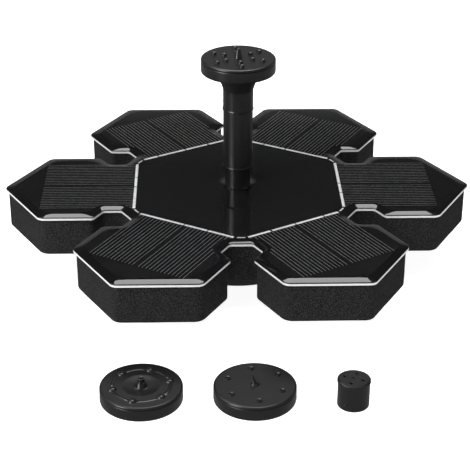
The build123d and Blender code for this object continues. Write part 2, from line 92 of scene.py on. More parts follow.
# ---- meshes -------------------------------------------------------------------------------
class Shape:
    """Points and faces of one piece, gathered part by part and welded at the end."""

    def __init__(self):
        self.points, self.faces, self.finish, self.curved = [], [], [], []

    def add(self, points, faces, finish=0, curved=True):
        first = len(self.points)
        self.points += [tuple(p) for p in points]
        self.faces += [tuple(first + i for i in face) for face in faces]
        self.finish += [finish] * len(faces)
        self.curved += [curved] * len(faces)

    def loft(self, loops, finish=0):
        """Walls between closed loops with the same number of points."""
        count = len(loops[0])
        faces = []
        for k in range(len(loops) - 1):
            for i in range(count):
                j = (i + 1) % count
                faces.append((k * count + i, k * count + j, (k + 1) * count + j, (k + 1) * count + i))
        self.add([p for loop in loops for p in loop], faces, finish)

    def close(self, loops):
        """Ends of a lofted bar."""
        for loop in (loops[0], loops[-1]):
            self.add(loop, [tuple(range(len(loop)))])

    def cap(self, outer, holes=(), finish=0):
        """Level face inside one loop and outside round holes."""
        flat, edges, owner = [], [], []
        for number, ring in enumerate((outer, *holes)):
            first = len(flat)
            flat += [Vector(p[:2]) for p in ring]
            edges += [(first + i, first + (i + 1) % len(ring)) for i in range(len(ring))]
            owner += [number] * len(ring)
        made = delaunay_2d_cdt(flat, edges, [], INSIDE_OUTLINE, SAME_POINT)
        rings = [owner[sources[0]] for sources in made[3]]
        faces = []
        for face in made[2]:
            touched = {rings[i] for i in face}
            # a triangle with all its corners on one hole lies in that hole
            if touched == {0} or len(touched) > 1:
                faces.append(face)
        self.add([(p.x, p.y, outer[0][2]) for p in made[0]], faces, finish, curved=False)

    def lathe(self, profile, x=0.0, y=0.0, segments=96, closed=False):
        """Surface of revolution about an upright axis from (radius, height) points."""
        loops = [circle(r, z, x, y, segments) for r, z in profile]
        if closed:
            loops.append(loops[0])
        self.loft(loops)

    def turn(self, angle):
        """Turns the whole shape about the middle of the flower, in degrees."""
        spin = Matrix.Rotation(math.radians(angle), 3, "Z")
        self.points = [tuple(spin @ Vector(p)) for p in self.points]

    def piece(self, name, stands_for, slot, materials, sharp=40):
        """Makes the object, which rides where the CAD nodes that it stands for ride. Sharp is in degrees."""
        mesh = bpy.data.meshes.new(name)
        mesh.from_pydata([[c * MM for c in p] for p in self.points], [], self.faces)
        for material in materials:
            mesh.materials.append(material)
        mesh.polygons.foreach_set("material_index", self.finish)
        mesh.polygons.foreach_set("use_smooth", self.curved)
        work = bmesh.new()
        work.from_mesh(mesh)
        bmesh.ops.remove_doubles(work, verts=work.verts, dist=WELD)
        bmesh.ops.dissolve_degenerate(work, edges=work.edges, dist=SLIVER)
        bmesh.ops.recalc_face_normals(work, faces=work.faces)
        work.to_mesh(mesh)
        work.free()
        curved = [polygon.use_smooth for polygon in mesh.polygons]
        mesh.set_sharp_from_angle(angle=math.radians(sharp))
        mesh.polygons.foreach_set("use_smooth", curved)
        obj = bpy.data.objects.new(name, mesh)
        bpy.context.scene.collection.objects.link(obj)
        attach(obj, nodes[stands_for[0]]["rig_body"])
        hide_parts(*stands_for)


def circle(radius, z, x=0.0, y=0.0, segments=96):
    """Closed loop of points round an upright axis."""
    angles = [2 * math.pi * i / segments for i in range(segments)]
    return [(x + radius * math.cos(a), y + radius * math.sin(a), z) for a in angles]


SLIGHT_BEND = math.radians(12)  # corners flatter than this stay as they are
SIDE_SHARE = 0.45              # most of a side that one rounded corner takes up


def soften(points, radius, closed=False, steps=4):
    """Profile with its corners rounded."""
    points = [Vector(p) for p in points]
    count = len(points)
    out = []
    for i, here in enumerate(points):
        if not closed and i in (0, count - 1):
            out.append(here)
            continue
        before, after = points[i - 1] - here, points[(i + 1) % count] - here
        bend = math.pi - before.angle(after)
        if bend < SLIGHT_BEND:
            out.append(here)
            continue
        room = SIDE_SHARE * min(before.length, after.length)
        reach = min(radius * math.tan(bend / 2), room)
        start, end = here + before.normalized() * reach, here + after.normalized() * reach
        for k in range(steps + 1):
            t = k / steps
            out.append((1 - t) ** 2 * start + 2 * t * (1 - t) * here + t**2 * end)
    return [tuple(p) for p in out]


# ---- outline of the flower, read from the board -------------------------------------------
SAME_LEVEL = 0.005             # how far a point may be from a height and still lie on it


def rim_loop(node, level):
    """Outer boundary of a node's flat face at one height, counter-clockwise."""
    mesh = nodes[node].data
    spots = [tuple(round(c / MM, 3) for c in v.co) for v in mesh.vertices]
    edges = set()
    for polygon in mesh.polygons:
        ring = [spots[i] for i in polygon.vertices]
        if all(abs(p[2] - level) < SAME_LEVEL for p in ring):
            edges.update(zip(ring, ring[1:] + ring[:1]))
    follow = {a: b for a, b in sorted(edges) if (b, a) not in edges}
    loops = []
    while follow:
        point = min(follow)
        loop = []
        while point in follow:
            loop.append(point)
            point = follow.pop(point)
        loops.append(loop)
    return max(loops, key=lambda loop: max(p[0] for p in loop))


SHORTEST_SIDE = 2.5            # anything shorter belongs to a rounded corner


def straight_sides(loop):
    """The loop's straight sides, in order, without the short runs of its rounded corners."""
    flat = [Vector(p[:2]) for p in loop]
    return [(a, b) for a, b in zip(flat, flat[1:] + flat[:1]) if (b - a).length > SHORTEST_SIDE]


SIDES = straight_sides(rim_loop("panel_board", BOARD_TOP))


def meet(p, along_p, q, along_q):
    """Where two lines cross."""
    return p + along_p * ((q - p).cross(along_q) / along_p.cross(along_q))


ROUNDING = 2.2                 # how much rounder an outer corner gets for each millimetre inwards
SHARPEST = 0.3                 # least radius of a corner
CORNER_STEPS = 8


def outline(inset):
    """The flower's outline moved inwards, with the same number of points whatever the inset."""
    points = []
    for (a0, a1), (b0, b1) in zip(SIDES, SIDES[1:] + SIDES[:1]):
        along_a, along_b = (a1 - a0).normalized(), (b1 - b0).normalized()
        bend = math.atan2(along_a.cross(along_b), along_a.dot(along_b))
        side = math.copysign(1.0, bend)
        half = math.tan(abs(bend) / 2)
        into_a = Vector((-along_a.y, along_a.x))
        into_b = Vector((-along_b.y, along_b.x))
        corner = meet(a1, along_a, b0, along_b)
        radius = ((corner - a1).length + (b0 - corner).length) / 2 / half
        radius = max(radius - side * inset, SHARPEST)
        if side > 0:
            radius += ROUNDING * inset
        corner = meet(a1 + into_a * inset, along_a, b0 + into_b * inset, along_b)
        start = corner - along_a * radius * half
        centre = start + into_a * side * radius
        spoke = start - centre
        for k in range(CORNER_STEPS + 1):
            points.append(centre + Matrix.Rotation(bend * k / CORNER_STEPS, 2) @ spoke)
    return points


def raised(points, z):
    """Plan points as points at one height."""
    return [(p.x, p.y, z) for p in points]


def divided(points, counts):
    """Loop with each run cut into equal shares."""
    out = []
    for here, after, count in zip(points, points[1:] + points[:1], counts):
        out += [here.lerp(after, k / count) for k in range(count)]
    return out


# ---- materials ----------------------------------------------------------------------------
def material(name, colour, roughness, **sockets):
    """New Principled material and its tree, with plain values on its sockets."""
    made = bpy.data.materials.new(name)
    made.use_nodes = True
    tree = made.node_tree
    shader = tree.nodes["Principled BSDF"]
    shader.inputs["Base Color"].default_value = (*colour, 1)
    shader.inputs["Roughness"].default_value = roughness
    for socket, value in sockets.items():
        shader.inputs[socket.replace("_", " ")].default_value = value
    made.diffuse_color = (*colour, 1)
    return made, tree, shader


def place(tree, stretch=(1, 1, 1)):
    """Coordinates fixed to the piece, in metres, squeezed or stretched."""
    where = tree.nodes.new("ShaderNodeTexCoord")
    if stretch == (1, 1, 1):
        return where.outputs["Object"]
    scaled = tree.nodes.new("ShaderNodeMapping")
    scaled.inputs["Scale"].default_value = stretch
    tree.links.new(where.outputs["Object"], scaled.inputs["Vector"])
    return scaled.outputs["Vector"]


def grain(tree, size, detail=3.0, stretch=(1, 1, 1)):
    """Noise with features of about size millimetres."""
    texture = tree.nodes.new("ShaderNodeTexNoise")
    texture.inputs["Scale"].default_value = 1 / (size * MM)
    texture.inputs["Detail"].default_value = detail
    tree.links.new(place(tree, stretch), texture.inputs["Vector"])
    return texture.outputs["Fac"]


def cells(tree, size):
    """Rounded cells about size millimetres across."""
    texture = tree.nodes.new("ShaderNodeTexVoronoi")
    texture.inputs["Scale"].default_value = 1 / (size * MM)
    tree.links.new(place(tree), texture.inputs["Vector"])
    return texture.outputs["Distance"]


WAVE_PERIOD = math.pi / 10     # of a wave texture at scale 1


def lines(tree, pitch, axis):
    """Even lines across an axis, pitch millimetres apart."""
    texture = tree.nodes.new("ShaderNodeTexWave")
    texture.bands_direction = axis
    texture.inputs["Scale"].default_value = WAVE_PERIOD / (pitch * MM)
    texture.inputs["Distortion"].default_value = 0.4
    tree.links.new(place(tree), texture.inputs["Vector"])
    return texture.outputs["Fac"]


def ranged(tree, value, low, high, start=0.3, end=0.7):
    """Value read over part of its range as low to high."""
    node = tree.nodes.new("ShaderNodeMapRange")
    for socket, number in (("From Min", start), ("From Max", end), ("To Min", low), ("To Max", high)):
        node.inputs[socket].default_value = number
    tree.links.new(value, node.inputs["Value"])
    return node.outputs["Result"]


def blended(tree, factor, dark, light):
    """Colour between two by a factor."""
    mix = tree.nodes.new("ShaderNodeMix")
    mix.data_type = "RGBA"
    mix.inputs["A"].default_value = (*dark, 1)
    mix.inputs["B"].default_value = (*light, 1)
    tree.links.new(factor, mix.inputs["Factor"])
    return mix.outputs["Result"]


def coloured(tree, shader, factor, dark, light):
    """Base colour between two by a factor."""
    tree.links.new(blended(tree, factor, dark, light), shader.inputs["Base Color"])


def grey(value):
    """Colour with the same red, green and blue."""
    return (value, value, value)


def combined(tree, first, second, operation):
    """Two values, or a value and a number, put together."""
    node = tree.nodes.new("ShaderNodeMath")
    node.operation = operation
    for socket, value in zip(node.inputs, (first, second)):
        if isinstance(value, (int, float)):
            socket.default_value = value
        else:
            tree.links.new(value, socket)
    return node.outputs["Value"]


def bumped(tree, shader, height, depth):
    """Relief of depth millimetres."""
    node = tree.nodes.new("ShaderNodeBump")
    node.inputs["Distance"].default_value = depth * MM
    node.inputs["Strength"].default_value = 1.0
    tree.links.new(height, node.inputs["Height"])
    tree.links.new(node.outputs["Normal"], shader.inputs["Normal"])


def moulded(name, colour, roughness, texture=0.35, depth=0.008, spread=0.06):
    """Moulded plastic or rubber: faint mottling and a fine textured skin."""
    made, tree, shader = material(name, colour, roughness)
    mottle = grain(tree, 6.0)
    darker = tuple(c * 0.8 for c in colour)
    lighter = tuple(c * 1.25 for c in colour)
    coloured(tree, shader, mottle, darker, lighter)
    skin = grain(tree, texture, 4.0)
    rough = ranged(tree, skin, roughness - spread, roughness + spread)
    tree.links.new(rough, shader.inputs["Roughness"])
    bumped(tree, shader, skin, depth)
    return made


def metal(name, colour, roughness, brushed=(1, 1, 1)):
    """Bare metal with fine drawn marks."""
    made, tree, shader = material(name, colour, roughness, Metallic=1.0)
    marks = grain(tree, 0.25, 4.0, brushed)
    tree.links.new(ranged(tree, marks, roughness - 0.1, roughness + 0.12), shader.inputs["Roughness"])
    bumped(tree, shader, marks, 0.004)
    return made


def board_material():
    """Black lacquer on the faces, and on the cut edge a pale colour that is partly the laminate's own and
    partly a painted highlight for the glint along the resin's edge.
    """
    made, tree, shader = material("board_black", (0.005, 0.005, 0.0055), 0.6, Specular_IOR_Level=0.0)
    facing = tree.nodes.new("ShaderNodeNewGeometry")
    parts = tree.nodes.new("ShaderNodeSeparateXYZ")
    tree.links.new(facing.outputs["Normal"], parts.inputs["Vector"])
    levelness = combined(tree, parts.outputs["Z"], 0.0, "ABSOLUTE")
    # steep faces take the pale edge colour: the laminate's own edge plus a painted highlight standing for
    # the resin edge's glint
    edge = combined(tree, levelness, 0.5, "LESS_THAN")
    fibre = grain(tree, 0.8, 5.0, (1, 1, 6))
    laminate_and_painted_glint = blended(tree, fibre, (0.52, 0.52, 0.515), (0.76, 0.76, 0.755))
    lacquer = blended(tree, grain(tree, 3.0), (0.0095, 0.0095, 0.01), (0.013, 0.013, 0.0135))
    mix = tree.nodes.new("ShaderNodeMix")
    mix.data_type = "RGBA"
    tree.links.new(edge, mix.inputs["Factor"])
    tree.links.new(lacquer, mix.inputs["A"])
    tree.links.new(laminate_and_painted_glint, mix.inputs["B"])
    tree.links.new(mix.outputs["Result"], shader.inputs["Base Color"])
    bumped(tree, shader, grain(tree, 0.4, 4.0), 0.01)
    return made


RESIN_IOR = 1.5


def resin_material():
    """Clear poured resin."""
    return material("clear_resin", grey(1), 0.012, Transmission_Weight=1.0, IOR=RESIN_IOR)[0]


def resin_rim_material():
    """The same resin where black lacquer shows through it."""
    made, tree, shader = material("clear_resin_over_black", (0.005, 0.005, 0.0055), 0.03, IOR=RESIN_IOR)
    coloured(tree, shader, grain(tree, 3.0), (0.004, 0.004, 0.0045), (0.006, 0.006, 0.0065))
    return made


def silicon_material():
    """Nearly black monocrystalline silicon with a faint blue coat."""
    made, tree, shader = material("silicon_cell", (0.005, 0.005, 0.006), 0.35, Specular_IOR_Level=0.05)
    coloured(tree, shader, grain(tree, 4.0, 4.0), (0.0015, 0.0015, 0.0022), (0.003, 0.003, 0.004))
    tree.links.new(ranged(tree, grain(tree, 0.6), 0.3, 0.45), shader.inputs["Roughness"])
    bumped(tree, shader, grain(tree, 0.15, 2.0), 0.003)
    return made


def finger_material():
    """Printed silver lines."""
    made, tree, shader = material("cell_fingers", grey(0.2), 0.5, Specular_IOR_Level=0.2)
    coloured(tree, shader, ranged(tree, grain(tree, 1.6, 3.0), 0, 1), grey(0.15), grey(0.29))
    bumped(tree, shader, grain(tree, 0.1, 3.0), 0.006)
    return made


def ribbon_material():
    """Tinned copper with lumpy solder."""
    made, tree, shader = material("tinned_ribbon", grey(0.9), 0.45)
    lumps = grain(tree, 0.9, 3.0)
    coloured(tree, shader, ranged(tree, lumps, 0, 1), grey(0.72), grey(1.0))
    tree.links.new(ranged(tree, lumps, 0.3, 0.6), shader.inputs["Roughness"])
    bumped(tree, shader, lumps, 0.05)
    return made


def foam_material():
    """Closed-cell foam cut from a sheet: fine speckled grain."""
    made, tree, shader = material("eva_foam", grey(0.02), 0.85, Specular_IOR_Level=0.15)
    pores = cells(tree, 0.42)
    speckle = combined(tree, pores, grain(tree, 0.3, 3.0), "MULTIPLY")
    coloured(tree, shader, ranged(tree, speckle, 0, 1, 0.11, 0.36), grey(0.001), grey(0.023))
    bumped(tree, shader, speckle, 0.12)
    return made


def sponge_material():
    """Open-cell filter sponge."""
    made, tree, shader = material("sponge", grey(0.04), 0.95)
    pores = cells(tree, 0.9)
    coloured(tree, shader, ranged(tree, pores, 0, 1, 0.1, 0.6), grey(0.006), grey(0.07))
    bumped(tree, shader, pores, 0.5)
    return made


def winding_material():
    """Enamelled copper wire, laid turn by turn."""
    made, tree, shader = material("copper_wire", (0.62, 0.2, 0.06), 0.3, Metallic=0.9)
    turns = lines(tree, 0.3, "Z")
    coloured(tree, shader, turns, (0.3, 0.08, 0.02), (0.75, 0.28, 0.09))
    bumped(tree, shader, turns, 0.12)
    return made


def lamination_material():
    """Stack of thin steel sheets."""
    made, tree, shader = material("core_steel", (0.35, 0.35, 0.36), 0.4, Metallic=1.0)
    sheets = lines(tree, 0.5, "Z")
    coloured(tree, shader, sheets, (0.16, 0.16, 0.17), (0.45, 0.45, 0.46))
    bumped(tree, shader, sheets, 0.05)
    return made


def circuit_material():
    """Green lacquered board with a faint pattern of tracks."""
    made, tree, shader = material("circuit_board", (0.01, 0.09, 0.035), 0.35)
    tracks = lines(tree, 1.6, "X")
    coloured(tree, shader, tracks, (0.008, 0.07, 0.028), (0.015, 0.12, 0.05))
    bumped(tree, shader, tracks, 0.03)
    return made


FINISH = {
    "board_black": board_material(),
    "clear_resin": resin_material(),
    "tinned_ribbon": ribbon_material(),
    "silicon_cell": silicon_material(),
    "eva_foam": foam_material(),
    "black_plastic": moulded("black_plastic", (0.006, 0.006, 0.0065), 0.3, depth=0.0015, spread=0.02),
    "impeller_plastic": moulded("impeller_plastic", (0.45, 0.45, 0.44), 0.4),
    "potting_epoxy": moulded("potting_epoxy", grey(0.01), 0.25, 2.5, 0.03),
    "circuit_board": circuit_material(),
    "chip_body": moulded("chip_body", (0.015, 0.015, 0.016), 0.6),
    "bare_aluminium": metal("bare_aluminium", (0.75, 0.75, 0.76), 0.35, (1, 1, 12)),
    "lead_red": moulded("lead_red", (0.45, 0.015, 0.01), 0.45),
    "lead_black": moulded("lead_black", grey(0.015), 0.45),
    "core_steel": lamination_material(),
    "ceramic": moulded("ceramic", (0.8, 0.79, 0.76), 0.3, 0.2, 0.002),
    "seal_rubber": moulded("seal_rubber", grey(0.02), 0.75),
    "screw_steel": metal("screw_steel", grey(0.6), 0.3),
    "ferrite": moulded("ferrite", (0.05, 0.05, 0.055), 0.4, 0.3, 0.01),
    "copper_wire": winding_material(),
    "sponge": sponge_material(),
}
FINGERS = finger_material()
RESIN_RIM = resin_rim_material()

# CAD nodes that stay in sight; their Blender slots have the record's names
for node in nodes.values():
    for number, slot in enumerate(node.material_slots):
        node.data.materials[number] = FINISH[slot.name.split(".")[0]]


# ---- clear coat ---------------------------------------------------------------------------
# (inset from the board's edge, share of the coat's thickness)
COAT_EDGE = (
    (0.05, -0.02), (0.05, 0.08), (0.09, 0.19), (0.19, 0.27), (0.35, 0.33), (1.0, 0.51),
    (1.7, 0.69), (2.3, 0.835), (2.7, 0.912), (3.1, 0.965), (3.5, 0.991), (4.0, 1.0),
)
# (distance from the collar, rise above the coat): the resin climbs the collar a little
MENISCUS = (
    (4.2, 0.0), (3.2, 0.015), (2.3, 0.05), (1.6, 0.11), (1.0, 0.2), (0.55, 0.31), (0.2, 0.45),
    (-0.05, 0.6),
)
COLLAR_R = 5.1
COLLAR_SEGMENTS = 72
RIM_STEPS = 10                 # steps of the edge under which only black board lies


def make_coat():
    """Poured resin, domed towards its edge."""
    coat = Shape()
    rims = [raised(outline(inset), BOARD_TOP + share * COATING) for inset, share in COAT_EDGE]
    coat.loft(rims[:RIM_STEPS], finish=1)
    coat.loft(rims[RIM_STEPS - 1:])
    collar = [circle(COLLAR_R + out, RESIN_TOP + up, segments=COLLAR_SEGMENTS) for out, up in MENISCUS]
    foot = circle(COLLAR_R + MENISCUS[-1][0], rims[0][0][2], segments=COLLAR_SEGMENTS)
    coat.loft(collar + [foot])
    coat.cap(rims[-1], [collar[0]])
    coat.cap(rims[0], [foot])
    finishes = [FINISH["clear_resin"], RESIN_RIM]
    coat.piece("resin_coat_poured", ["resin_coat"], "clear_resin", finishes)


# ---- cells and ribbons --------------------------------------------------------------------
CELL_BEVEL = 0.05
FINGERS_PER_CELL = 13
FINGER_PITCH = 1.53
FINGER_FIRST = 1.3             # middle of the first finger, from the petal's centre line
FINGER_WIDTH = 0.2
FINGER_HEIGHT = 0.03
FINGER_SINK = 0.01             # how far a finger's foot is under the cell's top
BARE_START, BARE_END = 0.1, 0.4  # of a cell's length, before and after its fingers


def in_petal(node, petal):
    """Lowest and highest corner of a node in its petal's own directions: along, across, up."""
    back = Matrix.Rotation(math.radians(-PETAL_TURN * petal), 3, "Z")
    spots = [back @ v.co / MM for v in nodes[node].data.vertices]
    return [[pick(p[i] for p in spots) for i in range(3)] for pick in (min, max)]


def slab(shape, low, high, edge, finish=0):
    """Low block whose top edges are bevelled."""
    def ring(back, z):
        return [(low[0] + back, low[1] + back, z), (high[0] - back, low[1] + back, z),
                (high[0] - back, high[1] - back, z), (low[0] + back, high[1] - back, z)]

    rings = [ring(0, low[2]), ring(0, high[2] - edge), ring(edge, high[2])]
    shape.loft(rings, finish)
    shape.cap(rings[0], finish=finish)
    shape.cap(rings[-1], finish=finish)


def make_cell(petal, letter):
    """Silicon strip with its printed fingers."""
    node = f"solar_cell_{petal + 1}{letter}"
    low, high = in_petal(node, petal)
    cell = Shape()
    slab(cell, low, high, CELL_BEVEL)
    side = -1 if letter == "a" else 1
    for k in range(FINGERS_PER_CELL):
        across = side * (FINGER_FIRST + FINGER_PITCH * k)
        start = (low[0] + BARE_START, across - FINGER_WIDTH / 2, high[2] - FINGER_SINK)
        end = (high[0] - BARE_END, across + FINGER_WIDTH / 2, high[2] + FINGER_HEIGHT)
        slab(cell, start, end, FINGER_HEIGHT * 0.6, finish=1)
    cell.turn(PETAL_TURN * petal)
    cell.piece(f"{node}_printed", [node], "silicon_cell", [FINISH["silicon_cell"], FINGERS])


# shares of a ribbon's length where its pieces start and end
RIBBON_RUNS = (
    ((0.0, 0.3), (0.315, 0.515), (0.53, 1.0)),
    ((0.0, 0.47), (0.485, 0.72), (0.735, 1.0)),
    ((0.0, 0.24), (0.26, 0.51), (0.525, 0.83), (0.845, 1.0)),
)
RIBBON_STATIONS = 24
RIBBON_MARGIN = 0.04           # of the node's width, left free on each side
EDGE_WANDER = 0.07
TOP_WANDER = 0.05
SOLDER = 0.02                  # mean height of the solder above the node's top


def ribbon_section(low, high, across, petal, run):
    """Loop round a ribbon at one place along it: flat foot, rounded edges and a slightly domed top."""
    wander = [EDGE_WANDER * noise.noise(Vector((across * 0.5, 7.3 * petal + run, side))) for side in (1, 9)]
    left = low[0] + RIBBON_MARGIN + abs(wander[0])
    right = high[0] - RIBBON_MARGIN - abs(wander[1])
    top = high[2] + SOLDER + TOP_WANDER * noise.noise(Vector((across * 0.8, petal * 3.1, 4)))
    return [
        (left, across, low[2]), (left, across, top - 0.09), (left + 0.1, across, top - 0.01),
        ((left + right) / 2, across, top + 0.02), (right - 0.1, across, top - 0.01),
        (right, across, top - 0.09), (right, across, low[2]),
    ]


def make_ribbon(petal):
    """Tab ribbon: a few flat lengths, end to end, with soldered wavy edges."""
    node = f"tab_ribbon_{petal + 1}"
    low, high = in_petal(node, petal)
    ribbon = Shape()
    length = high[1] - low[1]
    for run, (start, end) in enumerate(RIBBON_RUNS[petal % len(RIBBON_RUNS)]):
        shares = [start + (end - start) * k / RIBBON_STATIONS for k in range(RIBBON_STATIONS + 1)]
        rings = [ribbon_section(low, high, low[1] + length * share, petal, run) for share in shares]
        ribbon.loft(rings)
        ribbon.close(rings)
    ribbon.turn(PETAL_TURN * petal)
    ribbon.piece(f"{node}_soldered", [node], "tinned_ribbon", [FINISH["tinned_ribbon"]])


# ---- foam ---------------------------------------------------------------------------------
# (inset from the foam's side, height above its bottom) and the same from its top
FOAM_FOOT = ((0.95, 0.0), (0.5, 0.06), (0.2, 0.22), (0.05, 0.5), (0.0, 0.95))
FOAM_HEAD = ((0.0, 0.6), (0.06, 0.25), (0.2, 0.07), (0.45, 0.0))
FOAM_HOLE_R = 26.7
FOAM_LEVELS = 8                # equal shares of the float's height
FOAM_STEP = 1.6                # length of the faces round the float
UNEVEN = 0.1                   # how far the walls wander in and out
UNEVEN_INWARDS = 0.06          # and how far they lie inwards on the whole


def make_foam():
    """Die-cut float with soft edges and slightly uneven walls."""
    inset = BOARD_HIGH.x - FOAM_HIGH.x
    low, high = FOAM_LOW.z, FOAM_HIGH.z
    steps = [(i, low + z) for i, z in FOAM_FOOT]
    steps += [(0.0, low + (high - low) * k / FOAM_LEVELS) for k in range(1, FOAM_LEVELS)]
    steps += [(i, high - z) for i, z in FOAM_HEAD]
    plain = outline(inset)
    counts = [max(1, round((b - a).length / FOAM_STEP)) for a, b in zip(plain, plain[1:] + plain[:1])]
    rings = []
    for extra, z in steps:
        ring = []
        for p in divided(outline(inset + extra), counts):
            uneven = noise.noise(Vector((p.x * 0.11, p.y * 0.11, z * 0.16)))
            uneven += 0.4 * noise.noise(Vector((p.x * 0.5, p.y * 0.5, z * 0.5)))
            shift = p.normalized() * (UNEVEN * uneven - UNEVEN_INWARDS)
            ring.append((p.x + shift.x, p.y + shift.y, z))
        rings.append(ring)
    hole = [circle(FOAM_HOLE_R, z) for z in (low, high)]
    foam = Shape()
    foam.loft(rings)
    foam.loft(hole)
    foam.cap(rings[0], [hole[0]])
    foam.cap(rings[-1], [hole[1]])
    foam.piece("foam_float_cut", ["foam_float"], "eva_foam", [FINISH["eva_foam"]], sharp=60)


# ---- riser and adapter --------------------------------------------------------------------
SOCKET_R = 4.38
TUBE_R = 5.77
ADAPTER_R = 5.87
BEAD = 0.2
WATERWAY_R = 2.9
SPIGOT_R = 4.3
FLARE_R = 9.0                  # flare where it meets the disc
FLARE_WALL = 1.0
DISC_DEPTH = 3.55              # from the disc's underside to the top of its edge
DISC_WALL = 0.9
DISC_THICK = 1.0
ROUND_SEGMENTS = 128


def in_black(shape, name, node):
    """Makes a piece of the black moulded plastic that stands for one node."""
    shape.piece(name, [node], "black_plastic", [FINISH["black_plastic"]])


def make_riser():
    """Plain tube with a small bead at its foot."""
    low, high = TUBE_LOW.z, TUBE_HIGH.z
    bead = TUBE_HIGH.x
    profile = [
        (SOCKET_R + 0.25, low), (bead, low), (bead, low + 0.5), (TUBE_R, low + 0.72),
        (TUBE_R, high), (SOCKET_R, high), (SOCKET_R, low + 0.3),
    ]
    tube = Shape()
    tube.lathe(soften(profile, 0.14, closed=True), closed=True, segments=ROUND_SEGMENTS)
    in_black(tube, "riser_tube_moulded", "riser_tube")


def make_adapter():
    """Sleeve, flare and the disc that closes the head."""
    low, high = corners("head_adapter")
    seat = TUBE_HIGH.z
    top = high.z
    disc_r = high.x
    disc_low = top - DISC_DEPTH
    disc_top = disc_low + DISC_THICK
    outside = [
        (WATERWAY_R, low.z), (SPIGOT_R, low.z), (SPIGOT_R, seat), (ADAPTER_R + BEAD, seat),
        (ADAPTER_R + BEAD, seat + 0.6), (ADAPTER_R, seat + 0.9), (ADAPTER_R, seat + 8.4),
        (6.3, seat + 10.0), (7.3, seat + 12.3), (8.7, seat + 15.1), (FLARE_R, disc_low),
        (disc_r, disc_low), (disc_r, top),
    ]
    inside = [
        (disc_r - DISC_WALL, top), (disc_r - DISC_WALL, disc_top), (FLARE_R - FLARE_WALL, disc_top),
        (6.0, seat + 13.5), (3.6, seat + 10.4), (WATERWAY_R, seat + 8.0),
    ]
    sleeve = Shape()
    sleeve.lathe(soften(outside + inside, 0.3, closed=True), closed=True, segments=ROUND_SEGMENTS)
    in_black(sleeve, "head_adapter_moulded", "head_adapter")


# ---- heads --------------------------------------------------------------------------------
HEAD_HEIGHT = 5.3
HEAD_PLATE = 1.2
HEAD_SOCKET_R = 13.0
FACE_R = 13.7                  # flat of the top face
HEAD_SEGMENTS = 144
BOWL_SEGMENTS = 72
NOZZLE_SEGMENTS = 48
JET_SEGMENTS = 20
JETS = 6                       # in each ring
# rim of a disc head from its top face to its foot: (radius, height below the face)
HEAD_RIM = (
    (FACE_R, 0.0), (14.1, 0.12), (14.27, 0.25), (14.38, 0.5), (14.38, 0.85), (14.15, 0.98),
    (14.07, 1.08), (14.32, 1.17), (14.38, 1.4), (14.4, 4.8), (14.34, 5.1),
    (14.2, HEAD_HEIGHT), (HEAD_SOCKET_R + 0.2, HEAD_HEIGHT), (HEAD_SOCKET_R, 5.1),
    (HEAD_SOCKET_R, HEAD_PLATE),
)
# hollow jet from its foot on the face to the underside of the plate: (radius, height)
HOLLOW_JET = (
    (1.08, 0.0), (0.99, 0.04), (0.96, 0.12), (0.95, 0.55), (0.93, 0.63), (0.89, 0.66), (0.86, 0.655),
    (0.83, 0.645), (0.38, 0.5), (0.35, 0.48), (0.3, 0.4), (0.3, -HEAD_PLATE),
)


def around(count, radius, start):
    """Plan points evenly spaced on a circle, from an angle in degrees."""
    angles = [math.radians(start + 360 / count * i) for i in range(count)]
    return [(radius * math.cos(a), radius * math.sin(a)) for a in angles]


def add_jets(head, spots, profile, centre, face):
    """Jets or holes on a face; gives the loops where they meet it and those of their lower ends."""
    feet, ends = [], []
    for x, y in spots:
        rings = [circle(r, face + z, centre[0] + x, centre[1] + y, JET_SEGMENTS) for r, z in profile]
        head.loft(rings)
        feet.append(rings[0])
        ends.append(rings[-1])
    return feet, ends


def head_shell(node):
    """Rim of a disc head on its CAD node's axis, that axis, the face's height and the rim's end loops."""
    low, high = corners(node)
    centre = ((low.x + high.x) / 2, (low.y + high.y) / 2)
    face = low.z + HEAD_HEIGHT
    head = Shape()
    rim = [(r, face - z) for r, z in soften(HEAD_RIM, 0.12, steps=2)]
    head.lathe(rim, *centre, segments=HEAD_SEGMENTS)
    top, under = (circle(*rim[end], *centre, HEAD_SEGMENTS) for end in (0, -1))
    return head, centre, face, top, under


def disc_head(name, node, nozzle, spots, profile, lean=0.0):
    """Disc head: rim, face with jets, centre nozzle and open underside."""
    head, centre, face, top, under = head_shell(node)
    feet, ends = add_jets(head, spots, profile, centre, face)
    middle = []
    for r, z in nozzle:
        aside = lean * max(z, 0)
        middle.append(circle(r, face + z, centre[0] + aside, centre[1], NOZZLE_SEGMENTS))
    head.loft(middle)
    head.cap(top, feet + [middle[0]])
    head.cap(under, ends + [middle[-1]])
    in_black(head, name, node)


def nozzle_cone(foot_r, tip_r, height, bore):
    """Slender upright nozzle: fillet, taper, rounded lip and bore."""
    return [
        (foot_r + 0.35, 0.0), (foot_r + 0.12, 0.06), (foot_r, 0.28),
        (tip_r, height - 0.2), (tip_r - 0.07, height - 0.04), (tip_r - 0.16, height),
        (bore + 0.06, height - 0.1), (bore, height - 0.25),
        (bore, -HEAD_PLATE),
    ]


HEAD_TURN = 36                 # degrees from +X to a ring's first jet
RING_TURN = 14
OUTER_JETS = 10.1              # radius of a ring of jets
INNER_JETS = 5.9


def make_spray_head():
    """Main head: two rings of jets round a tall nozzle."""
    jets = around(JETS, OUTER_JETS, HEAD_TURN) + around(JETS, INNER_JETS, HEAD_TURN)
    disc_head("spray_head_moulded", "spray_head", nozzle_cone(1.55, 0.95, 3.5, 0.5), jets, HOLLOW_JET)


# needle on a low collar, from its foot on the face: (radius, height)
NEEDLE = (
    (1.75, 0.0), (1.6, 0.05), (1.56, 0.3), (1.45, 0.42), (1.0, 0.55), (0.86, 0.7), (0.5, 3.5),
    (0.42, 3.62), (0.3, 3.66), (0.24, 3.6), (0.2, 3.4), (0.2, -HEAD_PLATE),
)
NEEDLE_LEAN = -0.28            # the needle leans this far to the left for each millimetre up


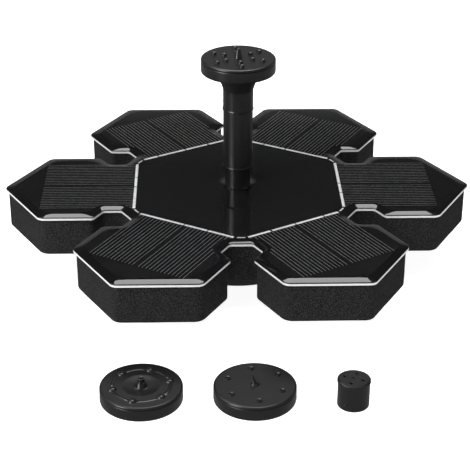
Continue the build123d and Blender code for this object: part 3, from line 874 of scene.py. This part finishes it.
def make_jet_head():
    """Spare head: six jets round a needle."""
    low_jet = [(r, z * 0.8 if z > 0 else z) for r, z in HOLLOW_JET]
    jets = around(JETS, OUTER_JETS, HEAD_TURN)
    disc_head("spare_jet_head_moulded", "spare_jet_head", NEEDLE, jets, low_jet, NEEDLE_LEAN)


# pierced dome from its foot on the face: (radius, height)
DOME = (
    (1.55, 0.0), (1.45, 0.08), (1.38, 0.22), (1.2, 0.38), (0.9, 0.53), (0.5, 0.64), (0.32, 0.66),
    (0.26, 0.6), (0.26, -HEAD_PLATE),
)
# cross-section of a raised arc: (distance from its middle line, height above the face)
ARC = (
    (-0.75, -0.1), (-0.66, 0.0), (-0.6, 0.03), (-0.14, 0.19), (0.0, 0.2), (0.14, 0.19), (0.6, 0.03),
    (0.66, 0.0), (0.75, -0.1),
)
ARC_START = 8.5                # degrees from a dome to the start of an arc
ARC_TURN = 43                  # degrees that an arc takes
ARC_STATIONS = 20
ARC_FADE = 3                   # stations over which its ends rise
# dished middle and stepped spout, from the bowl's edge: (radius, height above the face)
BOWL = (
    (6.6, 0.0), (6.4, -0.02), (6.1, -0.06), (5.5, -0.15), (4.6, -0.27), (3.8, -0.35),
    (3.0, -0.4), (2.1, -0.42), (1.95, -0.36), (1.85, -0.2), (1.5, 1.2), (1.4, 1.38),
    (1.12, 1.46), (1.05, 1.6), (1.02, 2.3), (1.22, 2.5), (1.24, 2.85), (1.15, 2.98),
    (0.98, 3.02), (0.62, 2.9), (0.5, 2.7), (0.5, -HEAD_PLATE),
)


def add_arc(head, centre, face, start):
    """Raised arc on a face from an angle in degrees, its foot a little into the face."""
    rings = []
    for k in range(ARC_STATIONS + 1):
        turn = math.radians(start + ARC_TURN * k / ARC_STATIONS)
        fade = min(1.0, k / ARC_FADE, (ARC_STATIONS - k) / ARC_FADE)
        ring = []
        for out, up in ARC:
            r = OUTER_JETS + out
            z = face + (up * fade if up > 0 else up)
            ring.append((centre[0] + r * math.cos(turn), centre[1] + r * math.sin(turn), z))
        rings.append(ring)
    head.loft(rings)
    head.close(rings)


def make_ring_head():
    """Spare head: dished centre, stepped spout, and domes joined by raised arcs."""
    head, centre, face, top, under = head_shell("spare_ring_head")
    feet, ends = add_jets(head, around(JETS, OUTER_JETS, RING_TURN), DOME, centre, face)
    rings = [circle(r, face + z, *centre, BOWL_SEGMENTS) for r, z in BOWL]
    head.loft(rings)
    head.cap(top, feet + [rings[0]])
    head.cap(under, ends + [rings[-1]])
    for i in range(JETS):
        add_arc(head, centre, face, RING_TURN + 360 / JETS * i + ARC_START)
    in_black(head, "spare_ring_head_moulded", "spare_ring_head")


CAP_PLATE = 1.2
MIDDLE_HOLE_R = 0.4
OUTER_HOLE_R = 0.5
OUTER_HOLES = 4
CAP_HOLES_R = 3.2              # middle of the cap to its outer holes
CAP_TURN = 67
LIP_STEP = 0.22                # how far the lip stands out from the body
NUB_R = 0.45
NUB_TURN = -123
NUB_HEIGHT = 2.5


def make_small_head():
    """Small cap with five holes and a grip nub."""
    low, high = corners("spare_small_head")
    lip = (high.x - low.x) / 2
    centre = ((low.x + high.x) / 2, high.y - lip)
    top = high.z
    body = lip - LIP_STEP
    plate_low = top - CAP_PLATE
    profile = soften([
        (lip - 0.6, top), (lip, top - 0.35), (lip, top - 1.2), (body, top - 1.5), (body, low.z + 0.25),
        (body - 0.2, low.z), (SOCKET_R + 0.2, low.z), (SOCKET_R, low.z + 0.25), (SOCKET_R, plate_low),
    ], 0.18)
    cap = Shape()
    cap.lathe(profile, *centre)
    feet, ends = [], []
    outer = around(OUTER_HOLES, CAP_HOLES_R, CAP_TURN)
    for bore, spots in ((MIDDLE_HOLE_R, [(0.0, 0.0)]), (OUTER_HOLE_R, outer)):
        hole = [(bore + 0.22, 0.0), (bore + 0.08, -0.06), (bore, -0.2), (bore, -CAP_PLATE)]
        made = add_jets(cap, spots, hole, centre, top)
        feet += made[0]
        ends += made[1]
    cap.cap(circle(profile[0][0], top, *centre), feet)
    cap.cap(circle(profile[-1][0], plate_low, *centre), ends)
    turn = math.radians(NUB_TURN)
    x, y = centre[0] + body * math.cos(turn), centre[1] + body * math.sin(turn)
    arc = [math.pi * k / 8 for k in range(9)]
    nub = [(NUB_R * math.sin(a), low.z + NUB_HEIGHT + NUB_R * math.cos(a)) for a in arc]
    cap.lathe(nub, x, y, segments=24)
    in_black(cap, "spare_small_head_moulded", "spare_small_head")


make_coat()
for petal_number in range(PETALS):
    for strip in "ab":
        make_cell(petal_number, strip)
    make_ribbon(petal_number)
make_foam()
make_riser()
make_adapter()
make_spray_head()
make_ring_head()
make_jet_head()
make_small_head()


# ---- stage, light and camera --------------------------------------------------------------
def only_seen_by(obj, *rays):
    """Leaves an object visible to some kinds of ray only."""
    for ray in ("camera", "diffuse", "glossy", "transmission", "shadow"):
        if ray not in rays:
            setattr(obj, f"visible_{ray}", False)


def staged(name, points, faces, made):
    """Part of the stage. It follows the lowest piece, which the floor would hide once it is pulled off."""
    mesh = bpy.data.meshes.new(name)
    mesh.from_pydata(points, [], faces)
    mesh.materials.append(made)
    obj = bpy.data.objects.new(name, mesh)
    bpy.context.scene.collection.objects.link(obj)
    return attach(obj, "strainer")


# metres from here on
STAGE_R = 8.0
STAGE_SEGMENTS = 64
FLOOR_Z = -0.00005             # just under the object, so that no two faces lie in one plane
STRIP_Z = -0.0001
GLOW_Z = -0.0002
WALL_LOW, WALL_HIGH = -0.01, 4.0
STRIP_NEAR, STRIP_FAR = 0.1, 0.7
STRIP_TURNS = (-62, -46)       # degrees, 0 in front and 90 on the right


def glowing(name, strength, colour=grey(0), roughness=1.0):
    """Material that gives off white light."""
    return material(name, colour, roughness, Emission_Color=(1, 1, 1, 1), Emission_Strength=strength)[0]


def stage_disc(name, z, finish):
    """Level disc under the object."""
    ring = circle(STAGE_R, z, segments=STAGE_SEGMENTS)
    return staged(name, ring, [tuple(range(STAGE_SEGMENTS))], finish)


def toward(azimuth, elevation=0.0):
    """Direction out from the object. Azimuth 0 is in front and 90 on the right, in degrees."""
    a, e = math.radians(azimuth), math.radians(elevation)
    return Vector((math.sin(a) * math.cos(e), -math.cos(a) * math.cos(e), math.sin(e)))


floor = stage_disc("floor", FLOOR_Z, glowing("floor_white", 0.93, grey(0.6), 0.9))
only_seen_by(floor, "camera", "diffuse", "shadow")

# what the floor looks like in the object's glossy faces, with a brighter strip on the left
glow = stage_disc("floor_glow", GLOW_Z, glowing("floor_glow", 0.28))
only_seen_by(glow, "glossy")
first, last = (toward(turn) for turn in STRIP_TURNS)
wedge = [first * STRIP_NEAR, first * STRIP_FAR, last * STRIP_FAR, last * STRIP_NEAR]
strip = staged("floor_strip", raised(wedge, STRIP_Z), [(0, 1, 2, 3)], glowing("floor_strip", 0.8))
only_seen_by(strip, "glossy")

wall = Shape()
wall.loft([circle(STAGE_R, z, segments=STAGE_SEGMENTS) for z in (WALL_LOW, WALL_HIGH)])
backdrop = staged("backdrop", wall.points, wall.faces, glowing("backdrop_white", 1.0))
only_seen_by(backdrop, "camera")

LIT_SPOT = Vector((0, -0.02, 0.03))


def softbox(name, azimuth, elevation, distance, width, height, radiance, rays=None):
    """Area light facing the object, seen by some kinds of ray or by all."""
    lamp = bpy.data.lights.new(name, "AREA")
    lamp.shape = "RECTANGLE"
    lamp.size, lamp.size_y = width, height
    lamp.energy = radiance * math.pi * width * height
    obj = bpy.data.objects.new(name, lamp)
    bpy.context.scene.collection.objects.link(obj)
    out = toward(azimuth, elevation)
    obj.location = LIT_SPOT + out * distance
    obj.rotation_mode = "QUATERNION"
    obj.rotation_quaternion = (-out).to_track_quat("-Z", "Y")
    if rays:
        only_seen_by(obj, *rays)


FILL = ("diffuse", "transmission", "shadow")
# name, azimuth, elevation, distance, width, height, radiance and the rays that see it
softbox("key_fill", -45, 32, 0.6, 0.47, 0.4, 3.8, FILL)
softbox("key_strip", -54, 24, 1.5, 0.6, 1.3, 9.0, ("glossy", "transmission"))
softbox("top_fill", 0, 80, 0.8, 0.53, 0.53, 6.4, FILL)
softbox("right_fill", 55, 25, 1.6, 1.0, 1.0, 0.5, FILL)
softbox("left_high", -85, 48, 1.4, 1.5, 0.5, 2.6, ("glossy",))
softbox("overhead", 180, 60, 1.3, 0.6, 0.55, 5.5)

# (elevation in degrees, brightness): pale near the floor, dark higher up, bright overhead
SKY = (
    (-20, 0.12), (4, 0.28), (14, 0.28), (20, 0.22), (22.2, 0.2), (23.0, 0.068), (24.3, 0.04),
    (25.3, 0.03), (26.5, 0.035), (29, 0.06), (31, 0.05), (33, 0.025), (40, 0.025), (47, 0.045),
    (55, 0.5),
)


def make_sky():
    """World whose brightness depends on the elevation alone."""
    world = bpy.data.worlds.new("studio")
    bpy.context.scene.world = world
    world.use_nodes = True
    tree = world.node_tree
    direction = tree.nodes.new("ShaderNodeTexCoord")
    parts = tree.nodes.new("ShaderNodeSeparateXYZ")
    tree.links.new(direction.outputs["Generated"], parts.inputs["Vector"])
    halved = combined(tree, parts.outputs["Z"], 0.5, "MULTIPLY")
    steps = tree.nodes.new("ShaderNodeValToRGB")
    tree.links.new(combined(tree, halved, 0.5, "ADD"), steps.inputs["Fac"])
    while len(steps.color_ramp.elements) < len(SKY):
        steps.color_ramp.elements.new(0.5)
    for element, (elevation, value) in zip(steps.color_ramp.elements, SKY):
        element.position = 0.5 + 0.5 * math.sin(math.radians(elevation))
        element.color = (*grey(value), 1)
    tree.links.new(steps.outputs["Color"], tree.nodes["Background"].inputs["Color"])


make_sky()
bpy.context.scene.view_settings.view_transform = "Standard"

AZIMUTH, ELEVATION, ROLL = -1.648, 27.328, -0.284  # degrees
AIM = Vector((-2.213, -44.157, RESIN_TOP)) * MM
DISTANCE = 0.541325            # from the camera to the spot it looks at
SENSOR_MM = 36
LENS_MM = 111.54
CLIP_NEAR, CLIP_FAR = 0.05, 50


def make_camera():
    """Camera level with the panel's top at its aim, turned a little about its own axis."""
    back = toward(AZIMUTH, ELEVATION)
    right = toward(AZIMUTH + 90)
    up = back.cross(right)
    roll = math.radians(ROLL)
    right, up = (
        right * math.cos(roll) - up * math.sin(roll),
        right * math.sin(roll) + up * math.cos(roll),
    )
    lens = bpy.data.cameras.new("camera")
    lens.sensor_width = SENSOR_MM
    lens.lens = LENS_MM
    lens.clip_start, lens.clip_end = CLIP_NEAR, CLIP_FAR
    camera = bpy.data.objects.new("camera", lens)
    bpy.context.scene.collection.objects.link(camera)
    turned = Matrix((right, up, back)).transposed().to_4x4()
    turned.translation = AIM + back * DISTANCE
    camera.matrix_world = turned
    bpy.context.scene.camera = camera


make_camera()
